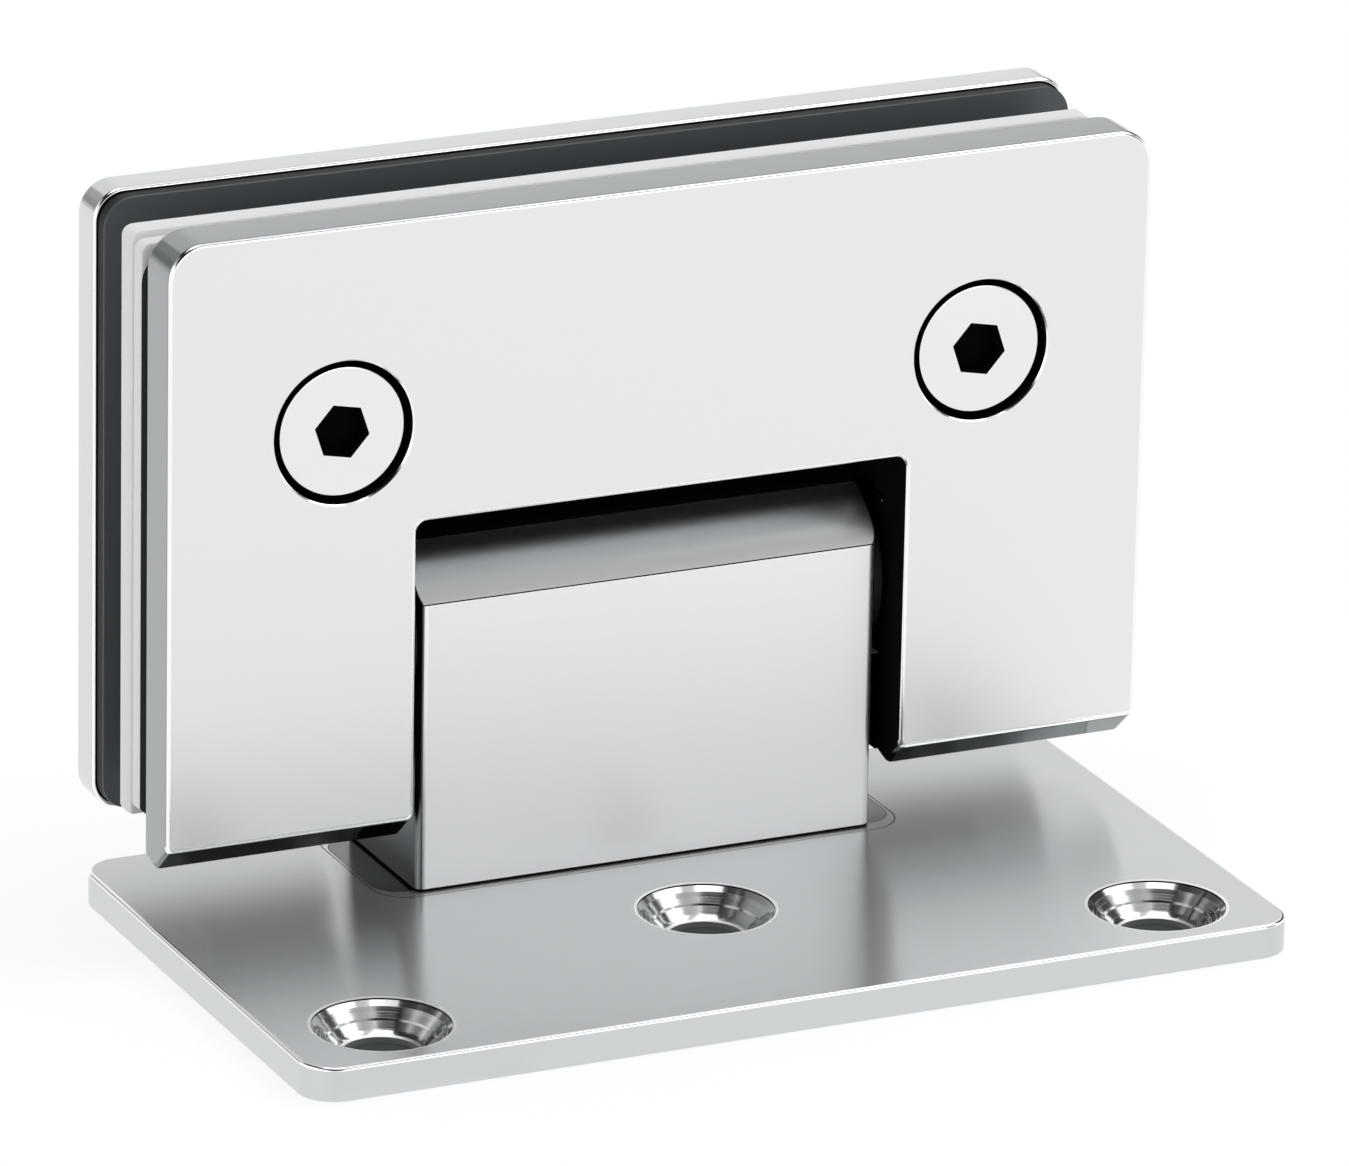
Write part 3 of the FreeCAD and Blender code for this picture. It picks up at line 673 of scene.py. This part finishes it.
rear_plate = leaf_slab(rear_low, rear_high, rear_inner_y, rear_high.y, rear_corner_r, rear_foot_r)
round_edges(rear_plate, sharp_edges(rear_plate), plate_ease, 3)
rear_plate = with_saddles(rear_plate, rear_inner_y, -1)
boss_length = rear_inner_y + join_overlap - rear_low.y
boss = [(0, 0), (boss_outer_r - boss_ease, 0), (boss_outer_r, boss_ease), (boss_outer_r, boss_length),
        (0, boss_length)]
boss_hole_depth = screw_high.y + boss_hole_past_tip - rear_low.y
for side in (-1, 1):
    boss_end = (side * clamp_screw_x, rear_low.y, clamp_screw_z)
    rear_plate = carved(rear_plate, spun(boss, boss_end, (0, 1, 0), steps=48), "UNION")
    rear_plate = drilled(rear_plate, boss_inner_r, boss_hole_depth, boss_end, (0, 1, 0))

# Slots for the outside steel, the sides' painted shade, painted shadow and the bevels' painted highlight.
outside, shaded_edge_band, inside, bevel = range(4)


def finish_plate(plate, face_y, inner_y):
    """Mark a plate's faces with their finish: painted shadow inside and on the notch's side walls, a
    painted highlight on the bevels, and a darker copy of the steel on the sides as painted shade.
    """
    for face in plate.faces:
        middle = face.calc_center_median()
        depth = abs(middle.y - face_y)
        in_notch = abs(middle.x) < notch_half + 5 * near and middle.z < notch_top + 5 * near
        if depth > abs(inner_y - face_y) - near / 2:
            face.material_index = inside
        elif 0.3 < abs(face.normal.y) < 0.99:
            face.material_index = inside if in_notch and depth > 1 else bevel
        elif in_notch and abs(face.normal.y) < 0.3:
            face.material_index = outside if face.normal.z < -0.9 else inside
        elif abs(face.normal.y) < 0.3:
            face.material_index = shaded_edge_band


finish_plate(rear_plate, rear_high.y, rear_inner_y)
plate_steel = brushed_steel("brushed_plate_steel", (0.815, 0.825, 0.835), roughness=0.30, one_way=0.4,
                            spread=0.015, bump_strength=0.03, across=5.0)
# Painted shade: the rear plate's sides and top are a darker copy of its steel.
rear_edge_shade_steel = brushed_steel("rear_edge_shade_steel", (0.68, 0.70, 0.71), roughness=0.13, one_way=0.2,
                                spread=0.01, bump_strength=0.005)
new_piece(rear_plate, "brushed_rear_plate", "leaf",
          [plate_steel, rear_edge_shade_steel, shadow_black, bevel_highlight_steel], ["rear_plate"])


# Gaskets and packings.
# Die-cut sheets that bed the glass: a black gasket on each plate, and two white packing sheets in
# front of the glass slot, all with openings for the saddles and holes for the clamp screws.
saddle_window_half = 36.24
saddle_window_top = 32.34
saddle_window_low = 17.26
layer_notch_gap = 0.4
rear_gasket_corner_r = 2.6
rear_gasket_foot_r = 2.3
packing_corner_r = 1.0
front_gasket_corner_r = 2.8
packing_ease = 0.45
gasket_ease = 0.12
front_gasket_foot = 12.6
tongue_width = 4.0
sleeve_hole_clear = 0.1
clamp_hole_r = 3.2
notch_shade_reach = 1.0

sleeve_low, sleeve_high = box_of("clamp_sleeve_right")
sleeve_hole_r = (sleeve_high.x - sleeve_low.x) / 2 + sleeve_hole_clear


def sheet_piece(node, name, corner_r, foot_r, ease, ease_steps, hole_r, material, rim_material, steps,
                notch_gap=layer_notch_gap, foot_z=None):
    """Die-cut sheet that stands for a packed layer node, down to its box's foot unless told another."""
    low, high = box_of(node)
    outer_low = Vector((low.x, low.y, foot_z or low.z))
    sheet = leaf_slab(outer_low, high, low.y, high.y, corner_r, foot_r, notch_gap, steps)
    round_edges(sheet, sharp_edges(sheet), ease, ease_steps)
    for side in (-1, 1):
        sheet = drilled(sheet, hole_r, high.y - low.y + cut_past,
                        (side * clamp_screw_x, low.y, clamp_screw_z), (0, 1, 0))
    for face in sheet.faces:
        middle = face.calc_center_median()
        # Painted shadow on the faces round the notch.
        if abs(middle.x) < notch_half + notch_shade_reach and middle.z < notch_top + notch_shade_reach:
            face.material_index = 1
        # The sheet's edges take the rim finish, for the gaskets a darker rubber as painted shade.
        elif abs(face.normal.y) < 0.3:
            face.material_index = 2
    return new_piece(sheet, name, "leaf", [material, shadow_black, rim_material], [node])


# Corners of the notch's right side. The packings are open from each saddle down. The gaskets have a
# window at each saddle, and the front one has a tongue down each side of the notch.
over_saddles = [(notch_half + layer_notch_gap, saddle_window_top), (saddle_window_half, saddle_window_top)]
round_saddles = over_saddles + [(saddle_window_half, saddle_window_low),
                                (notch_half + layer_notch_gap, saddle_window_low)]
tongue_low = box_of("front_gasket")[0].z
down_to_tongue = [(notch_half, saddle_window_top), (saddle_window_half, saddle_window_top),
                  (saddle_window_half, saddle_window_low), (notch_half, saddle_window_low),
                  (notch_half, tongue_low), (notch_half + tongue_width, tongue_low)]
dark_rubber = plastic("dark_rubber", (0.082, 0.095, 0.102), roughness=0.34, mottle_scale=700,
                      mottle=0.06)
black_rubber = plastic("black_rubber", (0.012, 0.013, 0.015), roughness=0.6, mottle_scale=700,
                       mottle=0.06, gloss=0.02)
# Painted shade: the gaskets' cut edges are a darker copy of their rubber.
rim_shade_rubber = plastic("painted_shade_rubber_rim", (0.026, 0.030, 0.032), roughness=0.5, mottle_scale=700,
                     mottle=0.06, gloss=0.1)
white_pvc = plastic("white_pvc", (0.90, 0.90, 0.91), roughness=0.45, mottle_scale=500, mottle=0.05)
sheet_piece("rear_gasket", "die_cut_rear_gasket", rear_gasket_corner_r, rear_gasket_foot_r, gasket_ease, 2,
            sleeve_hole_r, dark_rubber, rim_shade_rubber, round_saddles)
sheet_piece("rear_packing", "white_rear_packing", packing_corner_r, 0, packing_ease, 2,
            sleeve_hole_r, white_pvc, white_pvc, over_saddles)
sheet_piece("front_packing", "white_front_packing", packing_corner_r, 0, packing_ease, 2,
            sleeve_hole_r, white_pvc, white_pvc, over_saddles)
sheet_piece("front_gasket", "die_cut_front_gasket", front_gasket_corner_r, 0, gasket_ease, 2,
            clamp_hole_r, black_rubber, black_rubber, down_to_tongue,
            notch_gap=0.0, foot_z=front_gasket_foot)


# Front plate.
# The thick clamp plate that shows: satin brushed along its width, with eased edges, a blunt wedge
# under its arms, and two counterbored holes for the clamp screws.
front_corner_r = 3.2
front_ease = 0.35
outer_wedge_rise = 2.4
outer_wedge_depth = 2.7
inner_wedge_rise = 0.6
wedge_corner_r = 0.6
counterbore_r = 6.25
counterbore_ease = 0.12
clamp_hole_reach = 5.0
clamp_head_thick = 2.7

front_low, front_high = box_of("front_plate")
front_inner_y = box_of("front_gasket")[0].y
front_plate = leaf_slab(front_low, front_high, front_low.y, front_inner_y, front_corner_r, 0)
ridge_y = front_low.y + outer_wedge_depth
wedge_faces = [
    (Vector((0, ridge_y, front_low.z)), Vector((0, -outer_wedge_rise, -outer_wedge_depth))),
    (Vector((0, ridge_y, front_low.z)), Vector((0, inner_wedge_rise, -(front_inner_y - ridge_y)))),
]
for point, normal in wedge_faces:
    split = bmesh.ops.bisect_plane(front_plate, geom=whole(front_plate), plane_co=point, plane_no=normal,
                                   clear_outer=True, dist=1e-5)
    rim = [item for item in split["geom_cut"] if isinstance(item, bmesh.types.BMEdge)]
    bmesh.ops.holes_fill(front_plate, edges=rim, sides=0)
bmesh.ops.recalc_face_normals(front_plate, faces=front_plate.faces)
arm_sides = (-front_high.x, -notch_half, notch_half, front_high.x)
wedge_corners = [edge for edge in sharp_edges(front_plate, square_corner)
                 if min(abs(edge.verts[0].co.x - x) + abs(edge.verts[1].co.x - x) for x in arm_sides) < near
                 and max(vert.co.z for vert in edge.verts) < front_low.z + outer_wedge_rise + near]
round_edges(front_plate, wedge_corners, wedge_corner_r, 6)
round_edges(front_plate, sharp_edges(front_plate), front_ease, 3)
front_plate = with_saddles(front_plate, front_inner_y, 1)
seat_depth = screw_low.y + clamp_head_thick - front_low.y
hole_end = seat_depth + clamp_hole_reach
counterbore = [(0, -cut_past), (counterbore_r + counterbore_ease + cut_past, -cut_past),
               (counterbore_r, counterbore_ease), (counterbore_r, seat_depth), (clamp_hole_r, seat_depth),
               (clamp_hole_r, hole_end), (0, hole_end)]
for side in (-1, 1):
    mouth = (side * clamp_screw_x, front_low.y, clamp_screw_z)
    front_plate = carved(front_plate, spun(counterbore, mouth, (0, 1, 0)))
finish_plate(front_plate, front_low.y, front_inner_y)
wedge = bevel + 1
for face in front_plate.faces:
    middle = face.calc_center_median()
    from_screws = math.hypot(abs(middle.x) - clamp_screw_x, middle.z - clamp_screw_z)
    # The counterbore's wall and seat: painted shadow, a black ring round each screw head.
    if from_screws < counterbore_r + 5 * near and middle.y > front_low.y + 2 * counterbore_ease:
        face.material_index = inside
    # The wedge's faces under the arms: painted shade.
    elif middle.z < front_low.z + outer_wedge_rise and face.normal.z < -0.3:
        if face.material_index != inside:
            face.material_index = wedge
# Painted shade: the front plate's sides and top are a much darker copy of its steel.
front_edge_shade_steel = brushed_steel("front_edge_shade_steel", (0.34, 0.36, 0.37), roughness=0.13, one_way=0.2,
                                 spread=0.01, bump_strength=0.005)
# Painted shade: the wedge under the arms is a much darker copy of the steel.
wedge_shade_steel = brushed_steel("polished_wedge_shade_steel", (0.20, 0.22, 0.23), roughness=0.08, one_way=0.0,
                            spread=0.02, bump_strength=0.01)
new_piece(front_plate, "brushed_front_plate", "leaf",
          [plate_steel, front_edge_shade_steel, shadow_black, bevel_highlight_steel, wedge_shade_steel], ["front_plate"])


# Clamp screws and sleeves.
# Low-head socket screws, turned and faced bright, sit just below the front plate's face. Nylon
# sleeves over the rear plate's bosses keep the glass off the steel.
clamp_head_ease = 0.2
clamp_head_bend = 0.06
clamp_key_across = 4.35
clamp_key_depth = 2.0
clamp_key_turn = math.radians(-18.6)
clamp_shank_r = 3.0
clamp_tip = 0.75

clear_nylon = plastic("clear_nylon", (0.80, 0.80, 0.77), roughness=0.35, mottle_scale=400, mottle=0.05)
head_r = (screw_high.x - screw_low.x) / 2
for side_name, side in (("left", -1), ("right", 1)):
    centre = Vector((side * clamp_screw_x, screw_low.y, clamp_screw_z))
    length = screw_high.y - screw_low.y
    profile = [(0, 0), (head_r - clamp_head_ease, 0), (head_r - clamp_head_bend, clamp_head_bend),
               (head_r, clamp_head_ease), (head_r, clamp_head_thick), (clamp_shank_r, clamp_head_thick),
               (clamp_shank_r, length - clamp_tip), (clamp_shank_r - clamp_tip, length), (0, length)]
    screw = spun(profile, centre, (0, 1, 0), steps=96)
    key = bmesh.new()
    key_corner_r = clamp_key_across / math.sqrt(3)
    bmesh.ops.create_cone(key, cap_ends=True, segments=6, radius1=key_corner_r, radius2=key_corner_r,
                          depth=clamp_key_depth + cut_past)
    bmesh.ops.rotate(key, verts=key.verts, cent=(0, 0, 0), matrix=Matrix.Rotation(math.pi / 2, 3, "X"))
    bmesh.ops.rotate(key, verts=key.verts, cent=(0, 0, 0), matrix=Matrix.Rotation(clamp_key_turn, 3, "Y"))
    bmesh.ops.translate(key, verts=key.verts, vec=centre + Vector((0, (clamp_key_depth - cut_past) / 2, 0)))
    screw = carved(screw, key)
    for face in screw.faces:
        middle = face.calc_center_median()
        depth = middle.y - centre.y
        from_axis = math.hypot(middle.x - centre.x, middle.z - centre.z)
        in_socket = from_axis < clamp_key_across / 2 + 0.1 and 0.1 * near < depth < clamp_key_depth + near
        on_rim = from_axis > clamp_shank_r + 0.1 and depth > clamp_head_bend
        # Painted shadow in the hex socket and on the head's side and underside, a black ring in the
        # counterbore.
        if in_socket or on_rim:
            face.material_index = 1
    new_piece(screw, "socket_clamp_screw_" + side_name, "leaf", [screw_steel, shadow_black],
              ["clamp_screw_" + side_name])
    nodes["clamp_sleeve_" + side_name].material_slots[0].material = clear_nylon


# Studio.
# White floor and backdrop with a soft shadow under the part, and two soft lamps overhead. The floor and
# the world are white for the camera. For reflections the world has grey bands and round flags that dim it.
floor_half = 3000.0
floor_grey = 0.8
floor_mirrored = 1.0
floor_glow = 0.8
floor_shadow_share = 0.25
# Under the wall plate the floor is painted dark as the plate's shadow, which shows through the plate's
# holes.
under_plate_painted_shadow = (0.08, 0.09, 0.095)
plate_hides_within = 1.0
lamp_distance = 1300.0
lamp_size = 700.0
lamp_power = 3.0
lamp_ways = {"right_lamp": (0.62, -0.20, 0.76), "left_lamp": (-0.08, -0.12, 0.985)}
# A band is a height and its strength. A flag is the way to its middle, the cosines at which it begins and
# is full, and the share of light that it leaves.
front_bands = [(0.36, 1.9), (0.45, 0.47), (0.80, 0.47), (0.90, 0.80), (1.0, 0.80)]
rear_bands = [(0.30, 0.97), (0.42, 0.92), (0.60, 0.85), (0.80, 0.90), (1.0, 1.0)]
flags = [((-0.26, -0.85, 0.456), 0.87, 0.93, 0.02), ((-0.43, -0.50, 0.75), 0.90, 0.95, 0.02),
         ((-0.43, 0.45, 0.78), 0.925, 0.965, 0.03), ((-0.45, 0.02, 0.89), 0.955, 0.975, 0.03),
         ((0.86, 0.20, 0.47), 0.945, 0.965, 0.06), ((0.78, 0.61, 0.14), 0.925, 0.965, 0.10),
         ((0.78, -0.61, 0.14), 0.925, 0.965, 0.12), ((-0.42, 0.852, 0.30), 0.962, 0.978, 0.50),
         ((-0.52, 0.852, 0.05), 0.955, 0.985, 0.72)]

floor_mesh = bmesh.new()
bmesh.ops.create_grid(floor_mesh, x_segments=1, y_segments=1, size=floor_half * MM)
mesh = bpy.data.meshes.new("floor")
floor_mesh.to_mesh(mesh)
floor_mesh.free()
floor = bpy.data.objects.new("floor", mesh)
scene.collection.objects.link(floor)
floor_paint = bpy.data.materials.new("floor_white")
floor_paint.use_nodes = True
tree = floor_paint.node_tree
tree.nodes.clear()
light_path = tree.nodes.new("ShaderNodeLightPath")
plain = tree.nodes.new("ShaderNodeBsdfDiffuse")
plain.inputs["Color"].default_value = (floor_grey, floor_grey, floor_grey, 1)
mirrored = tree.nodes.new("ShaderNodeEmission")
mirrored.inputs["Strength"].default_value = floor_mirrored
white = tree.nodes.new("ShaderNodeEmission")
white.inputs["Strength"].default_value = floor_glow
place = tree.nodes.new("ShaderNodeTexCoord")
axes = tree.nodes.new("ShaderNodeSeparateXYZ")
under_sides = tree.nodes.new("ShaderNodeMath")
under_sides.operation = "COMPARE"
under_sides.inputs[1].default_value = 0.0
under_sides.inputs[2].default_value = (wall_high.x - plate_hides_within) * MM
under_ends = tree.nodes.new("ShaderNodeMath")
under_ends.operation = "COMPARE"
under_ends.inputs[1].default_value = 0.0
under_ends.inputs[2].default_value = (wall_high.y - plate_hides_within) * MM
under_plate = tree.nodes.new("ShaderNodeMath")
under_plate.operation = "MULTIPLY"
# Painted shadow on the floor within the wall plate's outline.
unlit = tree.nodes.new("ShaderNodeBsdfDiffuse")
unlit.inputs["Color"].default_value = (*under_plate_painted_shadow, 1)
faint = tree.nodes.new("ShaderNodeBsdfDiffuse")
faint.inputs["Color"].default_value = (floor_shadow_share, floor_shadow_share, floor_shadow_share, 1)
open_floor = tree.nodes.new("ShaderNodeAddShader")
seen = tree.nodes.new("ShaderNodeMixShader")
by_gloss = tree.nodes.new("ShaderNodeMixShader")
by_camera = tree.nodes.new("ShaderNodeMixShader")
output = tree.nodes.new("ShaderNodeOutputMaterial")
tree.links.new(light_path.outputs["Is Glossy Ray"], by_gloss.inputs["Fac"])
tree.links.new(plain.outputs["BSDF"], by_gloss.inputs[1])
tree.links.new(mirrored.outputs["Emission"], by_gloss.inputs[2])
tree.links.new(place.outputs["Object"], axes.inputs["Vector"])
tree.links.new(axes.outputs["X"], under_sides.inputs[0])
tree.links.new(axes.outputs["Y"], under_ends.inputs[0])
tree.links.new(under_sides.outputs["Value"], under_plate.inputs[0])
tree.links.new(under_ends.outputs["Value"], under_plate.inputs[1])
tree.links.new(white.outputs["Emission"], open_floor.inputs[0])
tree.links.new(faint.outputs["BSDF"], open_floor.inputs[1])
tree.links.new(under_plate.outputs["Value"], seen.inputs["Fac"])
tree.links.new(open_floor.outputs["Shader"], seen.inputs[1])
tree.links.new(unlit.outputs["BSDF"], seen.inputs[2])
tree.links.new(light_path.outputs["Is Camera Ray"], by_camera.inputs["Fac"])
tree.links.new(by_gloss.outputs["Shader"], by_camera.inputs[1])
tree.links.new(seen.outputs["Shader"], by_camera.inputs[2])
tree.links.new(by_camera.outputs["Shader"], output.inputs["Surface"])
floor.data.materials.append(floor_paint)

world = bpy.data.worlds.new("studio")
world.use_nodes = True
scene.world = world
tree = world.node_tree
tree.nodes.clear()
place = tree.nodes.new("ShaderNodeTexCoord")
axes = tree.nodes.new("ShaderNodeSeparateXYZ")
tree.links.new(place.outputs["Generated"], axes.inputs["Vector"])
bands = []
for levels in (front_bands, rear_bands):
    ramp = tree.nodes.new("ShaderNodeValToRGB")
    while len(ramp.color_ramp.elements) < len(levels):
        ramp.color_ramp.elements.new(0.5)
    for element, (height, strength) in zip(ramp.color_ramp.elements, levels):
        element.position = height
        element.color = (strength, strength, strength, 1)
    tree.links.new(axes.outputs["Z"], ramp.inputs["Fac"])
    bands.append(ramp)
behind = tree.nodes.new("ShaderNodeMapRange")
behind.inputs["From Min"].default_value = -0.3
behind.inputs["From Max"].default_value = 0.3
strength = tree.nodes.new("ShaderNodeMix")
strength.data_type = "RGBA"
tree.links.new(axes.outputs["Y"], behind.inputs["Value"])
tree.links.new(behind.outputs["Result"], strength.inputs["Factor"])
tree.links.new(bands[0].outputs["Color"], strength.inputs["A"])
tree.links.new(bands[1].outputs["Color"], strength.inputs["B"])
shaded = strength.outputs["Result"]
for way, edge, core, left_over in flags:
    nearness = tree.nodes.new("ShaderNodeVectorMath")
    nearness.operation = "DOT_PRODUCT"
    nearness.inputs[1].default_value = Vector(way).normalized()
    shade = tree.nodes.new("ShaderNodeMapRange")
    shade.inputs["From Min"].default_value = edge
    shade.inputs["From Max"].default_value = core
    shade.inputs["To Min"].default_value = 1.0
    shade.inputs["To Max"].default_value = left_over
    dim = tree.nodes.new("ShaderNodeVectorMath")
    dim.operation = "SCALE"
    tree.links.new(place.outputs["Generated"], nearness.inputs[0])
    tree.links.new(nearness.outputs["Value"], shade.inputs["Value"])
    tree.links.new(shaded, dim.inputs["Vector"])
    tree.links.new(shade.outputs["Result"], dim.inputs["Scale"])
    shaded = dim.outputs["Vector"]
studio_light = tree.nodes.new("ShaderNodeBackground")
backdrop = tree.nodes.new("ShaderNodeBackground")
light_path = tree.nodes.new("ShaderNodeLightPath")
by_camera = tree.nodes.new("ShaderNodeMixShader")
output = tree.nodes.new("ShaderNodeOutputWorld")
backdrop.inputs["Color"].default_value = (1, 1, 1, 1)
tree.links.new(shaded, studio_light.inputs["Color"])
tree.links.new(light_path.outputs["Is Camera Ray"], by_camera.inputs["Fac"])
tree.links.new(studio_light.outputs["Background"], by_camera.inputs[1])
tree.links.new(backdrop.outputs["Background"], by_camera.inputs[2])
tree.links.new(by_camera.outputs["Shader"], output.inputs["Surface"])

for name, way in lamp_ways.items():
    lamp = bpy.data.objects.new(name, bpy.data.lights.new(name, "AREA"))
    lamp.data.size = lamp_size * MM
    lamp.data.energy = lamp_power
    lamp.location = Vector(way).normalized() * lamp_distance * MM
    lamp.rotation_mode = "QUATERNION"
    lamp.rotation_quaternion = Vector(way).to_track_quat("Z", "Y")
    scene.collection.objects.link(lamp)

scene.view_settings.view_transform = "Standard"
